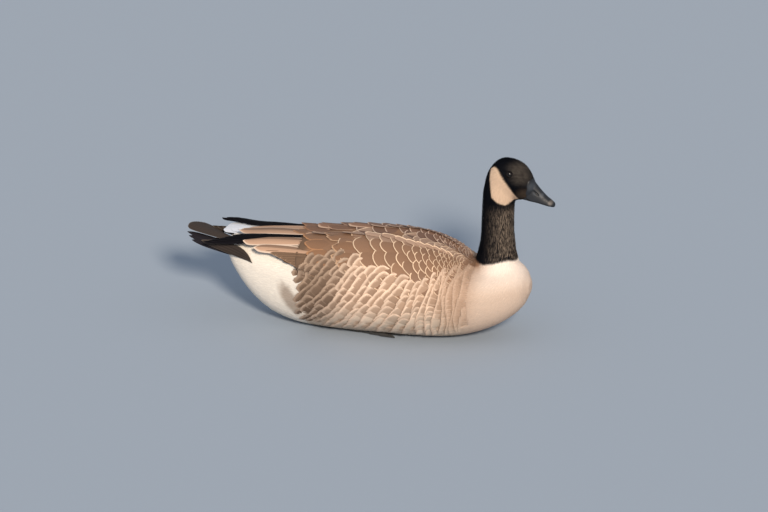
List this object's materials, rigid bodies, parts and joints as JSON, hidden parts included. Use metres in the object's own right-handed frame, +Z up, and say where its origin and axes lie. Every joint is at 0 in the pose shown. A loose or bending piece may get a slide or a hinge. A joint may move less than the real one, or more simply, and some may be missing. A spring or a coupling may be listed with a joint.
{
  "type": "canada goose",
  "caption": "Life-size still model of a Canada goose afloat, resting on its belly with neck raised, wings folded and feet tucked under.",
  "frame": {"origin": "bottom centre of the bounding box, on the floor under the belly", "axes": "+X along the body towards the bill, +Y to the bird's left, +Z up"},
  "size_m": [0.6402, 0.2114, 0.3187],
  "materials": {
    "body_plumage": "soft overlapping feathers, pale beige brown with whitish edges, cream white breast and undertail",
    "neck_plumage": "short close black feathers with a faint brown sheen and a cream white cheek patch",
    "wing_plumage": "overlapping brown feathers with crisp cream edges, near-black flight feathers",
    "tail_quills": "smooth dark grey-brown quills with paler shafts",
    "bill_horn": "satin black-grey horn, paler at the nail",
    "eye": "wet dark brown, polished",
    "foot_skin": "finely scaled dark grey skin"
  },
  "bodies": {
    "root": {"trunk": "body_plumage", "neck": "neck_plumage", "head": "neck_plumage", "wing_left": "wing_plumage", "wing_right": "wing_plumage", "tail": "tail_quills", "bill_upper": "bill_horn", "bill_lower": "bill_horn", "eye_left": "eye", "eye_right": "eye", "leg_left": "foot_skin", "leg_right": "foot_skin"}
  },
  "joints": []
}
